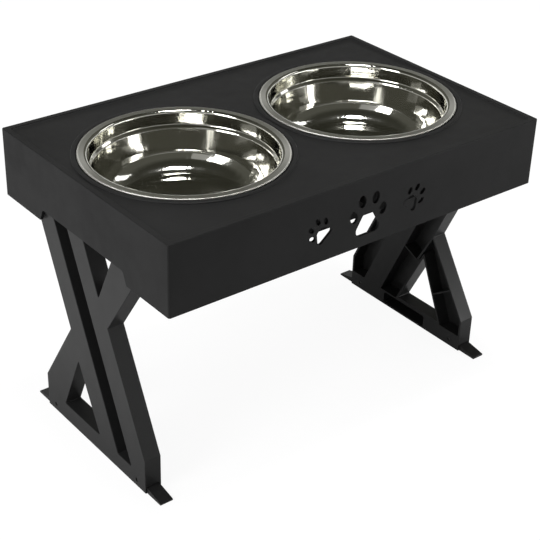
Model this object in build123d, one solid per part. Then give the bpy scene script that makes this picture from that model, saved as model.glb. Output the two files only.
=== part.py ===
from build123d import *
import math
import os

# Elevated feeding stand for a dog: a tray that holds two steel bowls, on two folding X-shaped legs
# Origin: centre of the floor under the stand, X along the tray, front at -Y, Z up, millimetres

# Tray moulding, as long as its two bowls and their margins
tray_width = 286.0
end_margin = 8.7
middle_gap = 1.4
tray_height = 300.5
apron_height = 72.0
apron_wall = 3.0
deck_thickness = 3.0
tray_corner = 2.0
tray_edge_round = 1.0
inner_corner = 3.0
lip_width = 6.0
lip_height = 1.5
lip_foot_round = 1.1
lip_top_round = 0.5
notch_height = 13.0
notch_top_half = 70.5
notch_bottom_half = 76.0
notch_corner = 4.0
rib_wall = 2.4
middle_rib_depth = 26.0
long_rib_spread = 119.2
long_rib_depth = 51.0
collar_depth = 12.0
collar_wall = 2.5

# Steel bowls
rim_radius = 101.5
rim_proud = 0.5
rim_roll = 2.2
rim_roll_width = 2.6
flange_width = 9.9
steel = 0.8
bowl_depth = 58.6
band_height = 14.6
band_taper = 0.7
step_width = 2.6
step_height = 3.0
step_round = 2.2
wall_foot_inset = 12.1
mouth_round = 3.0
bowl_corner = 26.0

# Seat and bead round each bowl opening
wall_clearance = 2.6
seat_clearance = 0.1
rim_gap = 0.9
bead_width = 5.4
bead_height = 1.5

# X-shaped legs: the heights in pairs, such as of the waist, are counted from the middle of the X
leg_depth = 18.0
leg_wall = 2.4
leg_half_width = 92.0
leg_end_height = 39.0
leg_corner = 1.0
leg_edge_round = 0.7
front_waist = (33.5, 17.5)
rear_waist = (37.0, 19.2)
arm_slope = 0.461
lower_window_base = 21.0
lower_window_rear = 56.5
lower_window_front = 10.0
lower_window_apex = (25.0, -51.5)
upper_window_apex = (-19.0, 44.0)
upper_window_rear_slope = 0.456
upper_window_front_slope = 0.488
window_corner = 1.0
groove_width = 24.5
groove_shift = 1.7
groove_corner = 1.0
rail_ceiling = 2.0
rail_wall = 1.6
rail_floor = 2.2
rib_thickness = 1.8
rib_lines = [((-12, -47), (15, -59)), ((43, -91), (73, -71))]
arm_wall_lines = [((16, -57), (36, -20)), ((-32.5, 18.5), (-20.5, 45))]
finger_inset = 2.5
finger_corner = 3.0

# Leg hinges under the deck
hinge_drop = 49.5
hinge_reach = 10.5
hinge_inset = 20.0
hinge_boss = 7.0
lug_width = 10.0
plate_thickness = 3.0
plate_round = 8.0
hinge_pin_radius = 2.5
hinge_head_radius = 4.2
hinge_head = 1.5
elbow_drop = 6.0
window_top_drop = 3.0
groove_top_drop = 8.0
leg_top_rise = 15.0
leg_gap = 1.2
swing_clearance = 0.1
web_clearance = 1.0

# Foot levers with their pins and pads
foot_pin_height = 8.0
foot_pin_inset = 15.5
foot_pin_radius = 2.1
foot_pin_recess = 1.0
foot_boss = 6.3
foot_length = 38.5
foot_shoulder = 12.5
foot_shoulder_height = 7.2
foot_tip_height = 2.4
foot_tip_round = 1.0
foot_slot_height = 7.5
pad_length = 20.0
pad_width = 9.0
pad_thickness = 1.2
pad_proud = 0.3
pad_end_margin = 3.0

# Clearances of moving parts
pin_clearance = 0.05
side_clearance = 0.3
stow_clearance = 0.5
pad_clearance = 0.05
foot_tip_clearance = 1.5

# Paw-shaped cut-outs in the front apron: a pad, then toes as (across, up from the pad centre, lean)
large_paw_drop = 49.2
large_pad_size = (29.0, 22.4)
large_toe_size = (9.0, 13.0)
large_toes = [(-18.0, 11.0, 10), (-8.3, 24.8, 5), (8.3, 24.8, -5), (18.0, 11.0, -10)]
small_paw_drop = 43.5
small_paw_offset = 55.1
small_pad_size = (19.5, 13.5)
small_toe_size = (5.0, 7.8)
small_toes = [(-12.4, -1.7, 62), (-14.0, 7.8, 48), (-6.4, 14.3, 34), (2.9, 12.8, 20)]
small_paw_lean = 40.0
pad_base_round = 0.5
pad_shoulder = 0.3
pad_shoulder_round = 0.3
pad_top_share = 0.42
pad_top_round = 0.34

# Margins for cutting past a surface and for picking edges
cut_margin = 1.0
pick_margin = 0.01

# Places that follow from the sizes above
deck_top = tray_height - lip_height
deck_bottom = deck_top - deck_thickness
apron_bottom = tray_height - apron_height
rim_top = tray_height + rim_proud
seat_height = rim_top - rim_roll - seat_clearance
mouth_radius = rim_radius - flange_width
wall_foot_radius = mouth_radius - wall_foot_inset
opening_radius = mouth_radius + steel + wall_clearance
bead_inner = rim_radius + rim_gap
bead_outer = bead_inner + bead_width
bowl_spacing = 2 * bead_outer + middle_gap
tray_length = bowl_spacing + 2 * bead_outer + 2 * end_margin
inner_half_length = tray_length / 2 - apron_wall
inner_half_width = tray_width / 2 - apron_wall
leg_outer_x = inner_half_length - leg_gap
leg_inner_x = leg_outer_x - leg_depth
leg_bottom = pad_proud
foot_bottom = pad_proud
hinge_x = leg_inner_x - hinge_reach
hinge_height = tray_height - hinge_drop
elbow_height = hinge_height - elbow_drop
leg_centre_height = (leg_end_height + elbow_height) / 2
window_top_height = hinge_height - window_top_drop
groove_top_height = hinge_height - groove_top_drop
leg_top_height = hinge_height + leg_top_rise
swing_radius = inner_half_length - hinge_x - swing_clearance
hinge_spread = leg_half_width - hinge_inset
foot_pin_spread = leg_half_width - foot_pin_inset
rail_floor_half = foot_pin_spread - foot_length - foot_tip_clearance
finger_half_width = rail_floor_half - finger_inset
rail_outer_x = leg_outer_x - rail_wall
rail_inner_x = leg_inner_x + rail_wall
foot_width = rail_outer_x - rail_inner_x - 2 * side_clearance
foot_x = leg_outer_x - leg_depth / 2
rail_inside_height = 2 * foot_pin_height + stow_clearance
rail_top = rail_inside_height + rail_ceiling
bowl_places = {"left": -bowl_spacing / 2, "right": bowl_spacing / 2}
sides = {"left": -1, "right": 1}
ends = {"front": -1, "rear": 1}


# Helpers: a flat face with rounded corners, and plates and bars cut from such faces
def rounded_face(corners):
    edges = []
    count = len(corners)
    trimmed = []
    for i in range(count):
        before = Vector(*corners[i - 1][:2])
        here = Vector(*corners[i][:2])
        after = Vector(*corners[(i + 1) % count][:2])
        radius = corners[i][2]
        into = (here - before).normalized()
        out = (after - here).normalized()
        turn = math.radians(into.get_angle(out))
        reach = radius * math.tan(turn / 2)
        trimmed.append((here - into * reach, here + out * reach, into, radius))
    for i in range(count):
        start, end, into, radius = trimmed[i]
        if radius > 0:
            edges.append(TangentArc(start, end, tangent=into))
        edges.append(Line(end, trimmed[(i + 1) % count][0]))
    return make_face(edges)


def grown(corners, amount):
    count = len(corners)
    points = [Vector(*corner[:2]) for corner in corners]
    area = sum(points[i - 1].X * points[i].Y - points[i].X * points[i - 1].Y for i in range(count))
    turn = 1 if area > 0 else -1
    moved = []
    for i in range(count):
        into = (points[i] - points[i - 1]).normalized()
        out = (points[(i + 1) % count] - points[i]).normalized()
        normals = Vector(into.Y, -into.X) + Vector(out.Y, -out.X)
        reach = 2 * turn * amount / normals.length ** 2
        moved.append((points[i].X + normals.X * reach, points[i].Y + normals.Y * reach, 0))
    return rounded_face(moved)


def plate_yz(face, low_x, high_x):
    return extrude(Pos(low_x, 0, 0) * (Plane.YZ * face), high_x - low_x, dir=(1, 0, 0))


def plate_xz(face, low_y, high_y):
    return extrude(Pos(0, low_y, 0) * (Plane.XZ * face), high_y - low_y, dir=(0, 1, 0))


def box_between(low, high):
    size = [high[i] - low[i] for i in range(3)]
    middle = [(high[i] + low[i]) / 2 for i in range(3)]
    return Pos(*middle) * Box(*size)


def ring(inner, outer, low, high):
    tall = high - low
    return Pos(0, 0, (low + high) / 2) * (Cylinder(outer, tall) - Cylinder(inner, tall))


def rod_x(radius, low_x, high_x, y, z):
    return Pos((low_x + high_x) / 2, y, z) * Rot(0, 90, 0) * Cylinder(radius, high_x - low_x)


def rod_y(radius, x, low_y, high_y, z):
    return Pos(x, (low_y + high_y) / 2, z) * Rot(90, 0, 0) * Cylinder(radius, high_y - low_y)


# Steel bowl: one revolved sheet with a rolled rim, an upper band, a step and a large bottom corner
def make_bowl():
    roll_round = 0.9
    band_foot = mouth_radius - band_taper
    step_foot = band_foot - step_width
    floor = rim_top - bowl_depth
    step_bottom = rim_top - band_height - step_height
    roll_inner = rim_radius - rim_roll_width
    step_lean = math.tan(math.atan2(step_width, step_height) / 2)
    profile = rounded_face([
        (0, floor, 0),
        (wall_foot_radius, floor, bowl_corner),
        (step_foot, step_bottom, step_round + steel),
        (band_foot, rim_top - band_height, step_round),
        (mouth_radius, rim_top, mouth_round),
        (rim_radius, rim_top, roll_round),
        (rim_radius, rim_top - rim_roll, roll_round),
        (roll_inner, rim_top - rim_roll, 0),
        (roll_inner, rim_top - steel, 0),
        (mouth_radius + steel, rim_top - steel, mouth_round - steel),
        (band_foot + steel, rim_top - band_height - steel * step_lean, step_round + steel),
        (step_foot + steel, step_bottom - steel * step_lean, step_round),
        (wall_foot_radius + steel, floor - steel, bowl_corner + steel),
        (0, floor - steel, 0),
    ])
    return revolve(Plane.XZ * profile, Axis.Z)


# Tray: deck with a lip, aprons, seats, collars, beads, paws, end notches and hinge plates
def make_paw(pad_size, toe_size, toes, lean):
    wide = pad_size[0] / 2
    high = pad_size[1] / 2
    pad = rounded_face([
        (-wide, -high, high * pad_base_round),
        (wide, -high, high * pad_base_round),
        (wide, -high * pad_shoulder, wide * pad_shoulder_round),
        (wide * pad_top_share, high, wide * pad_top_round),
        (-wide * pad_top_share, high, wide * pad_top_round),
        (-wide, -high * pad_shoulder, wide * pad_shoulder_round),
    ])
    shapes = [Rot(0, 0, lean) * pad]
    for across, up, turn in toes:
        shapes.append(Pos(across, up) * Rot(0, 0, turn) * Ellipse(toe_size[0] / 2, toe_size[1] / 2))
    return shapes


def cut_paws(body):
    small_right = [(-across, up, -turn) for across, up, turn in small_toes]
    paws = [
        (0, large_paw_drop, make_paw(large_pad_size, large_toe_size, large_toes, 0)),
        (-small_paw_offset, small_paw_drop,
         make_paw(small_pad_size, small_toe_size, small_toes, small_paw_lean)),
        (small_paw_offset, small_paw_drop,
         make_paw(small_pad_size, small_toe_size, small_right, -small_paw_lean)),
    ]
    front = -tray_width / 2
    for across, drop, shapes in paws:
        for shape in shapes:
            placed = Pos(across, tray_height - drop) * shape
            body -= plate_xz(placed, front - apron_wall, front + 2 * apron_wall)
    return body


def hinge_plate(side, y):
    x = side * hinge_x
    low_web = hinge_height + swing_radius + web_clearance
    outline = Pos(x, hinge_height) * Circle(plate_round)
    hanger = Rectangle(2 * plate_round, deck_bottom - hinge_height)
    outline += Pos(x, (hinge_height + deck_bottom) / 2) * hanger
    web_low = min(side * inner_half_length, x)
    web_high = max(side * inner_half_length, x)
    outline += Pos((web_low + web_high) / 2, (low_web + deck_bottom) / 2) * Rectangle(
        web_high - web_low, deck_bottom - low_web)
    outline -= Pos(x, hinge_height) * Circle(hinge_pin_radius + pin_clearance)
    return plate_xz(outline, y - plate_thickness / 2, y + plate_thickness / 2)


def lip_edges(body):
    reach = tray_width / 2 - lip_width + pick_margin
    span = tray_length / 2 - lip_width + pick_margin
    edges = body.edges().filter_by_position(Axis.Z, tray_height - pick_margin, tray_height + pick_margin)
    return edges.filter_by_position(Axis.X, -span, span).filter_by_position(Axis.Y, -reach, reach)


def make_tray():
    outer_face = RectangleRounded(tray_length, tray_width, tray_corner)
    outer = Pos(0, 0, apron_bottom) * extrude(outer_face, apron_height)
    outer = fillet(outer.edges().group_by(Axis.Z)[-1], tray_edge_round)
    hollow = RectangleRounded(2 * inner_half_length, 2 * inner_half_width, inner_corner)
    body = outer - Pos(0, 0, apron_bottom) * extrude(hollow, deck_bottom - apron_bottom)
    sunk_face = RectangleRounded(tray_length - 2 * lip_width, tray_width - 2 * lip_width, inner_corner)
    sunk = Pos(0, 0, deck_top) * extrude(sunk_face, lip_height)
    sunk = fillet(sunk.edges().group_by(Axis.Z)[0], lip_foot_round)
    body -= sunk
    body = fillet(lip_edges(body), lip_top_round)

    bead_face = rounded_face([
        (bead_inner, deck_top - lip_height, 0),
        (bead_outer, deck_top - lip_height, 0),
        (bead_outer, deck_top + bead_height, bead_height),
        (bead_inner, deck_top + bead_height, bead_height),
    ])
    bead = revolve(Plane.XZ * bead_face, Axis.Z)
    collar = ring(opening_radius, opening_radius + collar_wall, deck_bottom - collar_depth, deck_bottom)
    for x in bowl_places.values():
        body += Pos(x, 0, 0) * bead
        body += Pos(x, 0, 0) * collar
        body += box_between((x - rib_wall / 2, -inner_half_width, deck_bottom - collar_depth),
                            (x + rib_wall / 2, inner_half_width, deck_bottom))
    body += box_between((-rib_wall / 2, -inner_half_width, deck_bottom - middle_rib_depth),
                        (rib_wall / 2, inner_half_width, deck_bottom))
    for end in ends.values():
        middle = end * long_rib_spread
        body += box_between((-inner_half_length, middle - rib_wall / 2, deck_bottom - long_rib_depth),
                            (inner_half_length, middle + rib_wall / 2, deck_bottom))
    for x in bowl_places.values():
        depth = tray_height - deck_bottom + collar_depth
        body -= Pos(x, 0, tray_height - depth / 2) * Cylinder(opening_radius, depth)
        seat_depth = tray_height - seat_height
        body -= Pos(x, 0, tray_height - seat_depth / 2) * Cylinder(bead_inner, seat_depth)

    for side in sides.values():
        for end in ends.values():
            for step in (-1, 1):
                y = end * hinge_spread + step * (lug_width / 2 + side_clearance + plate_thickness / 2)
                body += hinge_plate(side, y)

    notch = rounded_face([
        (-notch_bottom_half, apron_bottom, 0),
        (notch_bottom_half, apron_bottom, 0),
        (notch_top_half, apron_bottom + notch_height, notch_corner),
        (-notch_top_half, apron_bottom + notch_height, notch_corner),
    ])
    body -= plate_yz(notch, -tray_length / 2, -inner_half_length)
    body -= plate_yz(notch, inner_half_length, tray_length / 2)
    return cut_paws(body)


# Leg: an X-shaped skin with walls round it, open channels with ribs, a groove, a rail and two hinge lugs
def leg_outline():
    front_y, front_rise = front_waist
    rear_y, rear_fall = rear_waist
    return [
        (-leg_half_width, leg_bottom, 0),
        (leg_half_width, leg_bottom, 0),
        (leg_half_width, leg_end_height, leg_corner),
        (rear_y, leg_centre_height - rear_fall, leg_corner),
        (leg_half_width, elbow_height, leg_corner),
        (leg_half_width, leg_top_height, 0),
        (-leg_half_width, leg_top_height, 0),
        (-leg_half_width, elbow_height, leg_corner),
        (-front_y, leg_centre_height + front_rise, leg_corner),
        (-leg_half_width, leg_end_height, leg_corner),
    ]


def leg_windows():
    apex_y, apex_rise = lower_window_apex
    lower = [
        (-lower_window_front, lower_window_base, window_corner),
        (lower_window_rear, lower_window_base, window_corner),
        (apex_y, leg_centre_height + apex_rise, window_corner),
    ]
    apex_y, apex_rise = upper_window_apex
    tall = window_top_height - leg_centre_height - apex_rise
    upper = [
        (apex_y, leg_centre_height + apex_rise, window_corner),
        (apex_y + tall * upper_window_rear_slope, window_top_height, window_corner),
        (apex_y - tall * upper_window_front_slope, window_top_height, window_corner),
    ]
    return lower, upper


def leg_groove():
    corners = []
    for z, across in ((rail_top, -1), (rail_top, 1), (groove_top_height, 1), (groove_top_height, -1)):
        middle = (z - leg_centre_height) * arm_slope + groove_shift
        corners.append((middle + across * groove_width / 2, z, groove_corner))
    return corners


def strip(start, end, thickness):
    middle = (Vector(*start) + Vector(*end)) / 2
    run = Vector(*end) - Vector(*start)
    lean = math.degrees(math.atan2(run.Y, run.X))
    return Pos(middle.X, middle.Y) * Rot(0, 0, lean) * Rectangle(run.length, thickness)


def leg_ribs():
    strips = [strip(start, end, leg_wall) for start, end in arm_wall_lines]
    for start, end in rib_lines:
        rib = strip(start, end, rib_thickness)
        strips += [rib, Rot(0, 0, 180) * rib]
    return [Pos(0, leg_centre_height) * shape for shape in strips]


def beyond_swing(radius):
    reach = leg_half_width + cut_margin
    block = box_between((-leg_outer_x - cut_margin, -reach, hinge_height),
                        (-leg_inner_x + cut_margin, reach, leg_top_height + cut_margin))
    return block - rod_y(radius, -hinge_x, -reach - cut_margin, reach + cut_margin, hinge_height)


def make_leg():
    outer_x = -leg_outer_x
    inner_x = -leg_inner_x
    skin_x = outer_x + leg_wall
    outline = leg_outline()
    lower, upper = leg_windows()
    groove = leg_groove()

    skin = rounded_face(outline) - rounded_face(lower) - rounded_face(upper)
    body = plate_yz(skin, outer_x, inner_x)
    body -= plate_yz(rounded_face(groove), outer_x, inner_x - leg_wall)
    body = fillet(body.edges().group_by(Axis.X)[0], leg_edge_round)
    body -= beyond_swing(swing_radius)

    channels = grown(outline, -leg_wall)
    for hole in (lower, upper, groove):
        channels -= grown(hole, leg_wall)
    channels -= Pos(0, rail_top / 2) * Rectangle(2 * leg_half_width, rail_top)
    for rib in leg_ribs():
        channels -= rib
    for end in ends.values():
        channels -= Pos(end * hinge_spread, hinge_height) * Rectangle(lug_width, 2 * hinge_boss)
    channels_solid = plate_yz(channels, skin_x, inner_x)
    channels_solid -= beyond_swing(swing_radius - leg_wall)
    body -= channels_solid

    rail_end = leg_half_width - leg_wall
    rail_low = (-rail_outer_x, -rail_end, leg_bottom)
    rail_high = (-rail_inner_x, rail_end, rail_inside_height)
    body -= box_between(rail_low, rail_high)
    slot_low = (-rail_outer_x, -leg_half_width, leg_bottom)
    slot_high = (-rail_inner_x, leg_half_width, foot_slot_height)
    body -= box_between(slot_low, slot_high)
    body += box_between((-rail_outer_x, -rail_floor_half, leg_bottom),
                        (-rail_inner_x, rail_floor_half, leg_bottom + rail_floor))
    finger = rounded_face([
        (-finger_half_width, leg_bottom + rail_floor, 0),
        (finger_half_width, leg_bottom + rail_floor, 0),
        (finger_half_width, rail_inside_height, finger_corner),
        (-finger_half_width, rail_inside_height, finger_corner),
    ])
    body -= plate_yz(finger, -rail_inner_x, inner_x)

    for end in ends.values():
        y = end * hinge_spread
        body += rod_y(hinge_boss, -hinge_x, y - lug_width / 2, y + lug_width / 2, hinge_height)
        body += box_between((inner_x, y - lug_width / 2, hinge_height - hinge_boss),
                            (-hinge_x, y + lug_width / 2, hinge_height + hinge_boss))
        body -= rod_y(hinge_pin_radius + pin_clearance, -hinge_x, y - lug_width, y + lug_width, hinge_height)
        pin_y = end * foot_pin_spread
        body -= rod_x(foot_pin_radius + pin_clearance, outer_x, inner_x, pin_y, foot_pin_height)
    return body


# Hinge pin: a headed pin through two hanging plates and the lug between them
def make_hinge_pin(side, end):
    half_span = lug_width / 2 + side_clearance + plate_thickness
    inner_y = end * (hinge_spread - half_span)
    outer_y = end * (hinge_spread + half_span)
    head_y = outer_y + end * hinge_head
    x = side * hinge_x
    shaft = rod_y(hinge_pin_radius, x, min(inner_y, outer_y), max(inner_y, outer_y), hinge_height)
    head = rod_y(hinge_head_radius, x, min(outer_y, head_y), max(outer_y, head_y), hinge_height)
    return shaft + head


# Foot lever: a wedge on a round boss that swings out past the end of the leg, with a recess for its pad
def make_foot(side, end):
    middle = end * foot_pin_spread

    def along(reach):
        return middle + end * reach

    boss_edge = foot_boss * 0.3
    boss_top = foot_pin_height + math.sqrt(foot_boss ** 2 - boss_edge ** 2)
    wedge = rounded_face([
        (along(0), foot_bottom, 0),
        (along(foot_length), foot_bottom, foot_tip_round / 2),
        (along(foot_length), foot_tip_height, foot_tip_round),
        (along(foot_shoulder), foot_shoulder_height, foot_tip_round),
        (along(boss_edge), boss_top, 0),
        (along(0), foot_pin_height, 0),
    ])
    profile = wedge + Pos(middle, foot_pin_height) * Circle(foot_boss)
    profile -= Pos(middle, foot_pin_height) * Circle(foot_pin_radius + pin_clearance)
    x = side * foot_x
    body = plate_yz(profile, x - foot_width / 2, x + foot_width / 2)
    recess = pad_block(side, end, pad_clearance)
    return body - recess


# Foot pin: a plain pin across the leg, just below the surface at both ends
def make_foot_pin(side, end):
    x = side * foot_x
    reach = leg_depth / 2 - foot_pin_recess
    return rod_x(foot_pin_radius, x - reach, x + reach, end * foot_pin_spread, foot_pin_height)


# Foot pad: a soft block let into the underside of the lever, slightly proud of it
def pad_block(side, end, gap=0.0):
    x = side * foot_x
    far = foot_pin_spread + foot_length - pad_end_margin
    y = end * (far - pad_length / 2)
    half_wide = pad_width / 2 + gap
    half_long = pad_length / 2 + gap
    return box_between((x - half_wide, y - half_long, 0), (x + half_wide, y + half_long, pad_thickness))


# Every piece, written to its own file
def write_parts():
    os.makedirs("parts", exist_ok=True)
    leg = make_leg()
    bowl = make_bowl()
    pieces = {"tray": make_tray(), "leg_left": leg, "leg_right": Rot(0, 0, 180) * leg}
    for name, x in bowl_places.items():
        pieces["bowl_" + name] = Pos(x, 0, 0) * bowl
    for side_name, side in sides.items():
        for end_name, end in ends.items():
            place = side_name + "_" + end_name
            pieces["hinge_pin_" + place] = make_hinge_pin(side, end)
            pieces["foot_" + place] = make_foot(side, end)
            pieces["foot_pin_" + place] = make_foot_pin(side, end)
            pieces["foot_pad_" + place] = pad_block(side, end)
    for name, piece in pieces.items():
        export_step(piece, "parts/" + name + ".step")
    print(len(pieces), "pieces written")


write_parts()
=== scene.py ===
import bpy
import math
from mathutils import Matrix, Vector


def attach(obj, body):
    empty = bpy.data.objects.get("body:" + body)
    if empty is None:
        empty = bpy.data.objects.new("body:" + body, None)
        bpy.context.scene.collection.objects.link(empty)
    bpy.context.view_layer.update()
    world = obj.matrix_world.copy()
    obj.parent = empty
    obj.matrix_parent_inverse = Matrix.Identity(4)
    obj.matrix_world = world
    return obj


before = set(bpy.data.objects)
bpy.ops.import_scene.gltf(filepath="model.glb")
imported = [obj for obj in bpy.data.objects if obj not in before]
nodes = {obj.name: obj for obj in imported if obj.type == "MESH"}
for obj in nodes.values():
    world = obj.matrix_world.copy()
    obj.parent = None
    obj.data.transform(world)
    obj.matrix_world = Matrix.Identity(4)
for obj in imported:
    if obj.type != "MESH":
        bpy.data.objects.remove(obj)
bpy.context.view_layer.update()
print("frame loaded:", len(nodes), "nodes")


# small helpers for node trees
def newMaterial(name):
    material = bpy.data.materials.new(name)
    material.use_nodes = True
    tree = material.node_tree
    shader = tree.nodes["Principled BSDF"]
    return material, tree, shader


def addNode(tree, kind, **values):
    node = tree.nodes.new(kind)
    for key, value in values.items():
        setattr(node, key, value)
    return node


def mathNode(tree, operation, first, second=None):
    node = addNode(tree, "ShaderNodeMath", operation=operation)
    for socket, value in zip(node.inputs, (first, second)):
        if value is None:
            continue
        if isinstance(value, (int, float)):
            socket.default_value = value
        else:
            tree.links.new(value, socket)
    return node.outputs[0]


def mapRange(tree, value, low, high, toLow, toHigh):
    node = addNode(tree, "ShaderNodeMapRange")
    node.inputs["From Min"].default_value = low
    node.inputs["From Max"].default_value = high
    node.inputs["To Min"].default_value = toLow
    node.inputs["To Max"].default_value = toHigh
    tree.links.new(value, node.inputs["Value"])
    return node.outputs["Result"]


def noise(tree, scale, detail=2.0, vector=None):
    node = addNode(tree, "ShaderNodeTexNoise")
    node.inputs["Scale"].default_value = scale
    node.inputs["Detail"].default_value = detail
    if vector is None:
        vector = addNode(tree, "ShaderNodeTexCoord").outputs["Object"]
    tree.links.new(vector, node.inputs["Vector"])
    return node.outputs["Fac"]


def bump(tree, shader, height, strength, distance):
    node = addNode(tree, "ShaderNodeBump")
    node.inputs["Strength"].default_value = strength
    node.inputs["Distance"].default_value = distance
    tree.links.new(height, node.inputs["Height"])
    tree.links.new(node.outputs["Normal"], shader.inputs["Normal"])


def setMaterial(piece, material):
    piece.data.materials.clear()
    piece.data.materials.append(material)


# moulded black plastic: the tray dull, the legs and feet a little glossier
trayLook = {"tone": 0.0175, "toneSpread": 0.002, "cloudScale": 14.0, "cloudDetail": 3.0, "cloudLow": 0.3,
            "cloudHigh": 0.7, "roughLow": 0.42, "roughHigh": 0.52, "patchScale": 60.0, "patchLow": 0.25,
            "patchHigh": 0.75, "grainScale": 2600.0, "grainDetail": 1.0, "grainStrength": 0.35,
            "grainDepth": 0.00006, "specular": 0.10}
legLook = dict(trayLook, tone=0.019, specular=0.235, roughLow=0.30, roughHigh=0.37)


def mouldedPlastic(name, look):
    material, tree, shader = newMaterial(name)
    shader.inputs["Specular IOR Level"].default_value = look["specular"]
    cloud = noise(tree, look["cloudScale"], look["cloudDetail"])
    tone = mapRange(tree, cloud, look["cloudLow"], look["cloudHigh"], look["tone"] - look["toneSpread"],
                    look["tone"] + look["toneSpread"])
    combine = addNode(tree, "ShaderNodeCombineColor")
    for channel in ("Red", "Green", "Blue"):
        tree.links.new(tone, combine.inputs[channel])
    tree.links.new(combine.outputs["Color"], shader.inputs["Base Color"])
    rough = mapRange(tree, noise(tree, look["patchScale"]), look["patchLow"], look["patchHigh"],
                     look["roughLow"], look["roughHigh"])
    tree.links.new(rough, shader.inputs["Roughness"])
    bump(tree, shader, noise(tree, look["grainScale"], look["grainDetail"]), look["grainStrength"],
         look["grainDepth"])
    return material


# stainless steel bowls: polished inside with faint upright waves in the sheet, a satin rim and a duller roll
bowlLook = {"colour": (0.66, 0.655, 0.61, 1), "smudgeColour": (0.6204, 0.6157, 0.5734, 1), "smudgeScale": 55.0,
            "smudgeDetail": 4.0, "smudgeLow": 0.35, "smudgeHigh": 0.7, "bowlOffset": 0.1085, "anisotropy": 0.7,
            "polished": 0.06, "smudged": 0.095, "satin": 0.31, "rimFrom": 0.0938, "rimTo": 0.0950,
            "rollRough": 0.42, "rollFrom": 0.0990, "rollTo": 0.1000,
            "waveScale": 7.0, "waveDetail": 1.5, "waveDepth": 0.00034, "upright": 2.0, "calmTo": 0.030,
            "waveFrom": 0.075, "ringScale": 900.0, "ringDetail": 2.0, "ringDepth": 0.000003,
            "smallestRadius": 0.02}


def bowlSteel(name, look):
    material, tree, shader = newMaterial(name)
    shader.inputs["Metallic"].default_value = 1.0
    shader.inputs["Anisotropic"].default_value = look["anisotropy"]
    # distance from the bowl's own axis, the same for both bowls
    place = addNode(tree, "ShaderNodeSeparateXYZ")
    tree.links.new(addNode(tree, "ShaderNodeTexCoord").outputs["Object"], place.inputs[0])
    across = mathNode(tree, "SUBTRACT", mathNode(tree, "ABSOLUTE", place.outputs["X"]), look["bowlOffset"])
    squares = mathNode(tree, "ADD", mathNode(tree, "MULTIPLY", across, across),
                       mathNode(tree, "MULTIPLY", place.outputs["Y"], place.outputs["Y"]))
    radius = mathNode(tree, "SQRT", squares)
    # polish inside, satin on the flange, duller again on the rolled edge
    smudge = noise(tree, look["smudgeScale"], look["smudgeDetail"])
    polished = mapRange(tree, smudge, look["smudgeLow"], look["smudgeHigh"], look["polished"], look["smudged"])
    onRim = mapRange(tree, radius, look["rimFrom"], look["rimTo"], 0.0, 1.0)
    satin = mathNode(tree, "MULTIPLY", onRim, look["satin"])
    roll = mapRange(tree, radius, look["rollFrom"], look["rollTo"], 0.0, look["rollRough"])
    rough = mathNode(tree, "MAXIMUM", mathNode(tree, "MAXIMUM", polished, satin), roll)
    tree.links.new(rough, shader.inputs["Roughness"])
    mix = addNode(tree, "ShaderNodeMix", data_type="RGBA")
    mix.inputs["A"].default_value = look["colour"]
    mix.inputs["B"].default_value = look["smudgeColour"]
    tree.links.new(smudge, mix.inputs["Factor"])
    tree.links.new(mix.outputs["Result"], shader.inputs["Base Color"])
    # waves change round the wall and hardly up it, so they stand upright, and the middle of the floor is calm
    wayRound = addNode(tree, "ShaderNodeCombineXYZ")
    reach = mathNode(tree, "MAXIMUM", radius, look["smallestRadius"])
    tree.links.new(mathNode(tree, "DIVIDE", across, reach), wayRound.inputs["X"])
    tree.links.new(mathNode(tree, "DIVIDE", place.outputs["Y"], reach), wayRound.inputs["Y"])
    tree.links.new(mathNode(tree, "MULTIPLY", place.outputs["Z"], look["upright"]), wayRound.inputs["Z"])
    waves = mathNode(tree, "MULTIPLY", noise(tree, look["waveScale"], look["waveDetail"], wayRound.outputs[0]),
                     look["waveDepth"])
    onWall = mapRange(tree, radius, look["calmTo"], look["waveFrom"], 0.0, 1.0)
    waves = mathNode(tree, "MULTIPLY", waves, onWall)
    # fine rings from spinning
    upWall = addNode(tree, "ShaderNodeCombineXYZ")
    tree.links.new(mathNode(tree, "ADD", radius, place.outputs["Z"]), upWall.inputs["X"])
    rings = mathNode(tree, "MULTIPLY", noise(tree, look["ringScale"], look["ringDetail"], upWall.outputs[0]),
                     look["ringDepth"])
    bump(tree, shader, mathNode(tree, "ADD", waves, rings), 1.0, 1.0)
    tangent = addNode(tree, "ShaderNodeTangent", direction_type="RADIAL", axis="Z")
    tree.links.new(tangent.outputs["Tangent"], shader.inputs["Tangent"])
    return material


# plain steel pins
pinLook = {"colour": (0.12, 0.12, 0.12, 1), "rubScale": 400.0, "rubLow": 0.3, "rubHigh": 0.7, "roughLow": 0.3,
           "roughHigh": 0.5}


def rubbedSteel(name, look):
    material, tree, shader = newMaterial(name)
    shader.inputs["Metallic"].default_value = 1.0
    shader.inputs["Base Color"].default_value = look["colour"]
    rough = mapRange(tree, noise(tree, look["rubScale"]), look["rubLow"], look["rubHigh"], look["roughLow"],
                     look["roughHigh"])
    tree.links.new(rough, shader.inputs["Roughness"])
    return material


# rubber pads under the feet
padLook = {"colour": (0.02, 0.02, 0.02, 1), "roughness": 0.85, "grainScale": 1800.0, "grainStrength": 0.4,
           "grainDepth": 0.0001}


def grippyRubber(name, look):
    material, tree, shader = newMaterial(name)
    shader.inputs["Base Color"].default_value = look["colour"]
    shader.inputs["Roughness"].default_value = look["roughness"]
    bump(tree, shader, noise(tree, look["grainScale"]), look["grainStrength"], look["grainDepth"])
    return material


trayPlastic = mouldedPlastic("trayPlastic", trayLook)
legPlastic = mouldedPlastic("legPlastic", legLook)
steel = bowlSteel("bowlSteel", bowlLook)
pinSteel = rubbedSteel("pinSteel", pinLook)
rubber = grippyRubber("padRubber", padLook)

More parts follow.
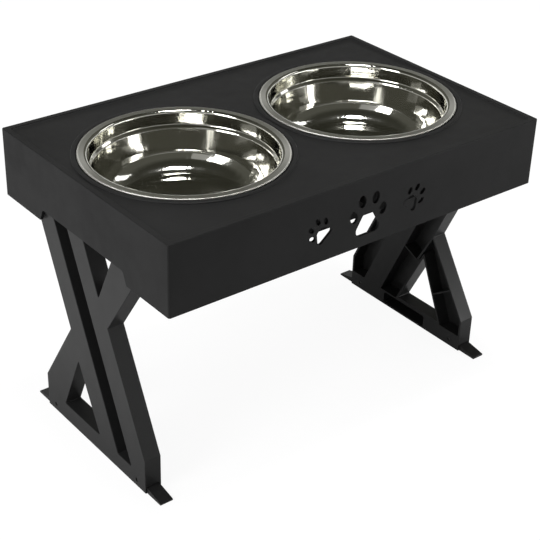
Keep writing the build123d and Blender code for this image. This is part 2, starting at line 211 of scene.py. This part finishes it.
for nodeName, piece in nodes.items():
    if nodeName == "tray":
        setMaterial(piece, trayPlastic)
    elif nodeName.startswith("bowl"):
        setMaterial(piece, steel)
    elif "pin" in nodeName:
        setMaterial(piece, pinSteel)
    elif "pad" in nodeName:
        setMaterial(piece, rubber)
    else:
        setMaterial(piece, legPlastic)
print("materials set")

# painted shade: dark plastic webs across the rail of each leg beside its finger notch, with a toe on the rail's
# floor, put where the rail's hollow is only in shade so the white floor inside it stays hidden
shadeWebLook = {"outerX": 0.2190, "innerX": 0.2046, "nearY": 0.0343, "farY": 0.0362, "bottom": 0.0025, "top": 0.0164,
           "toeTop": 0.0040, "toeReach": 0.0028, "notchFacing": -0.9, "edge": 0.0004, "edgeSteps": 2}
shadeWebTurns = {"right_rear": Matrix.Identity(4), "right_front": Matrix.Scale(-1, 4, (0, 1, 0)),
            "left_rear": Matrix.Scale(-1, 4, (1, 0, 0)), "left_front": Matrix.Rotation(math.pi, 4, "Z")}


def makeShadeWeb(look):
    bpy.ops.object.select_all(action="DESELECT")
    middle = ((look["outerX"] + look["innerX"]) / 2, (look["nearY"] + look["farY"]) / 2,
              (look["bottom"] + look["top"]) / 2)
    size = (look["outerX"] - look["innerX"], look["farY"] - look["nearY"], look["top"] - look["bottom"])
    bpy.ops.mesh.primitive_cube_add(size=1, location=middle)
    web = bpy.context.object
    web.scale = size
    bpy.ops.object.transform_apply(location=True, rotation=True, scale=True)
    bpy.ops.object.mode_set(mode="EDIT")
    bpy.ops.mesh.select_mode(type="FACE")
    bpy.ops.mesh.select_all(action="SELECT")
    bpy.ops.mesh.bisect(plane_co=(0, 0, look["toeTop"]), plane_no=(0, 0, 1))
    bpy.ops.mesh.select_all(action="DESELECT")
    bpy.ops.object.mode_set(mode="OBJECT")
    for face in web.data.polygons:  # the strip below the cut, on the side of the notch
        face.select = face.normal.y < look["notchFacing"] and face.center.z < look["toeTop"]
    bpy.ops.object.mode_set(mode="EDIT")
    bpy.ops.mesh.extrude_region_move(TRANSFORM_OT_translate={"value": (0, -look["toeReach"], 0)})
    bpy.ops.mesh.select_all(action="SELECT")
    bpy.ops.mesh.normals_make_consistent(inside=False)
    bpy.ops.object.mode_set(mode="OBJECT")
    bevel = web.modifiers.new("edges", "BEVEL")
    bevel.width = look["edge"]
    bevel.segments = look["edgeSteps"]
    bpy.ops.object.modifier_apply(modifier=bevel.name)
    return web


def turnedCopy(piece, turn):  # a copy with its own mesh, turned about the origin
    twin = piece.copy()
    twin.data = piece.data.copy()
    twin.data.transform(turn)
    if turn.determinant() < 0:
        twin.data.flip_normals()
    bpy.context.scene.collection.objects.link(twin)
    return twin


# painted shade: these dark webs stand in for the shade inside each rail
firstShadeWeb = makeShadeWeb(shadeWebLook)
for webName, webTurn in shadeWebTurns.items():
    web = firstShadeWeb if webName == "right_rear" else turnedCopy(firstShadeWeb, webTurn)
    web.name = "rail_shade_web_" + webName
    setMaterial(web, legPlastic)
    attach(web, "leg_" + webName.split("_")[0])
print("rail webs made")


def shownShare(tree):  # rays on which the white background shows: from the camera, and by way of metal and glass
    path = addNode(tree, "ShaderNodeLightPath")
    mirrored = mathNode(tree, "MAXIMUM", path.outputs["Is Glossy Ray"], path.outputs["Is Transmission Ray"])
    return path.outputs["Is Camera Ray"], mirrored


def blendShaders(tree, share, first, second):
    mix = addNode(tree, "ShaderNodeMixShader")
    tree.links.new(share, mix.inputs["Fac"])
    tree.links.new(first, mix.inputs[1])
    tree.links.new(second, mix.inputs[2])
    return mix.outputs[0]


# pale floor that keeps the shadow
floorLook = {"half": 6.0, "tone": 0.62, "roughness": 0.9, "specular": 0.1, "seenShare": 0.82,
             "mirroredShare": 0.12, "glow": 1.14}


def makeFloor(look):
    bpy.ops.object.select_all(action="DESELECT")
    bpy.ops.mesh.primitive_plane_add(size=2 * look["half"], location=(0, 0, 0))
    floor = bpy.context.object
    floor.name = "floor"
    material, tree, shader = newMaterial("paleFloor")
    tone = look["tone"]
    shader.inputs["Base Color"].default_value = (tone, tone, tone, 1)
    shader.inputs["Roughness"].default_value = look["roughness"]
    shader.inputs["Specular IOR Level"].default_value = look["specular"]
    glow = addNode(tree, "ShaderNodeEmission")
    glow.inputs["Strength"].default_value = look["glow"]
    seen, mirrored = shownShare(tree)
    share = mathNode(tree, "MAXIMUM", mathNode(tree, "MULTIPLY", seen, look["seenShare"]),
                     mathNode(tree, "MULTIPLY", mirrored, look["mirroredShare"]))
    surface = blendShaders(tree, share, shader.outputs[0], glow.outputs[0])
    tree.links.new(surface, tree.nodes["Material Output"].inputs["Surface"])
    setMaterial(floor, material)


# white backdrop for the camera; metal sees it at the horizon, with greyer walls and a dim ceiling above
roomLook = {"light": 0.20, "backdrop": 1.0, "pale": (1, 1, 1, 1), "wall": (0.105, 0.105, 0.088, 1),
            "ceiling": (0.045, 0.045, 0.035, 1), "wallFrom": 0.10, "wallTo": 0.30, "ceilingFrom": 0.62,
            "ceilingTo": 0.80}


def background(tree, colour, strength):
    node = addNode(tree, "ShaderNodeBackground")
    node.inputs["Color"].default_value = colour
    node.inputs["Strength"].default_value = strength
    return node.outputs[0]


def makeRoom(look):
    world = bpy.context.scene.world or bpy.data.worlds.new("studio")
    bpy.context.scene.world = world
    world.use_nodes = True
    tree = world.node_tree
    tree.nodes.clear()
    room = background(tree, look["pale"], look["light"])
    white = background(tree, look["pale"], look["backdrop"])
    wall = background(tree, look["wall"], 1.0)
    ceiling = background(tree, look["ceiling"], 1.0)
    place = addNode(tree, "ShaderNodeSeparateXYZ")
    tree.links.new(addNode(tree, "ShaderNodeTexCoord").outputs["Generated"], place.inputs[0])
    above = mapRange(tree, place.outputs["Z"], look["wallFrom"], look["wallTo"], 0.0, 1.0)
    high = mapRange(tree, place.outputs["Z"], look["ceilingFrom"], look["ceilingTo"], 0.0, 1.0)
    metalSees = blendShaders(tree, high, blendShaders(tree, above, white, wall), ceiling)
    seen, mirrored = shownShare(tree)
    lit = blendShaders(tree, mirrored, room, metalSees)
    final = blendShaders(tree, seen, lit, white)
    out = addNode(tree, "ShaderNodeOutputWorld")
    tree.links.new(final, out.inputs["Surface"])


# soft lamps; the leg light picks out the front edge of the right leg
lamps = {"leftLight": {"place": (-2.25, -0.12, 1.20), "target": (0, 0, 0.2), "wide": 0.9, "tall": 2.0,
                       "power": 42.0},
         "leftFrontLight": {"place": (-1.95, -1.15, 1.75), "target": (0, 0, 0.3), "wide": 1.1, "tall": 1.2,
                            "power": 1.2},
         "topLight": {"place": (0.10, -0.10, 2.60), "target": (0, 0, 0.3), "wide": 0.52, "tall": 0.52,
                      "power": 37.0},
         "rightLight": {"place": (2.05, -0.30, 1.70), "target": (0, 0, 0.2), "wide": 0.5, "tall": 1.1,
                        "power": 4.5},
         "legLight": {"place": (0.90, -1.00, 0.26), "target": (0.21, -0.08, 0.06), "wide": 0.55, "tall": 0.45,
                      "power": 3.7}}


def areaLight(name, look):
    data = bpy.data.lights.new(name, "AREA")
    data.shape = "RECTANGLE"
    data.size = look["wide"]
    data.size_y = look["tall"]
    data.energy = look["power"]
    lamp = bpy.data.objects.new(name, data)
    bpy.context.scene.collection.objects.link(lamp)
    lamp.location = look["place"]
    lamp.rotation_euler = (Vector(look["target"]) - Vector(look["place"])).to_track_quat("-Z", "Y").to_euler()


makeFloor(floorLook)
makeRoom(roomLook)
for lampName, lampLook in lamps.items():
    areaLight(lampName, lampLook)
print("studio set")

# camera at the photo's angle
cameraLook = {"place": (-0.7656, -0.9485, 0.8480), "right": (0.78752, -0.61575, 0.02572),
              "up": (0.2946, 0.41278, 0.86187), "back": (-0.54131, -0.67117, 0.50647), "lens": 89.605,
              "sensorWidth": 36.0, "farthest": 50.0}
cameraData = bpy.data.cameras.new("camera")
cameraData.lens = cameraLook["lens"]
cameraData.sensor_width = cameraLook["sensorWidth"]
cameraData.clip_end = cameraLook["farthest"]
camera = bpy.data.objects.new("camera", cameraData)
bpy.context.scene.collection.objects.link(camera)
axes = [Vector(cameraLook[key]) for key in ("right", "up", "back")]
cameraTurn = Matrix([[axis[row] for axis in axes] for row in range(3)]).to_4x4()
camera.matrix_world = Matrix.Translation(cameraLook["place"]) @ cameraTurn
bpy.context.scene.camera = camera
bpy.context.scene.view_settings.view_transform = "Standard"
print("camera set")
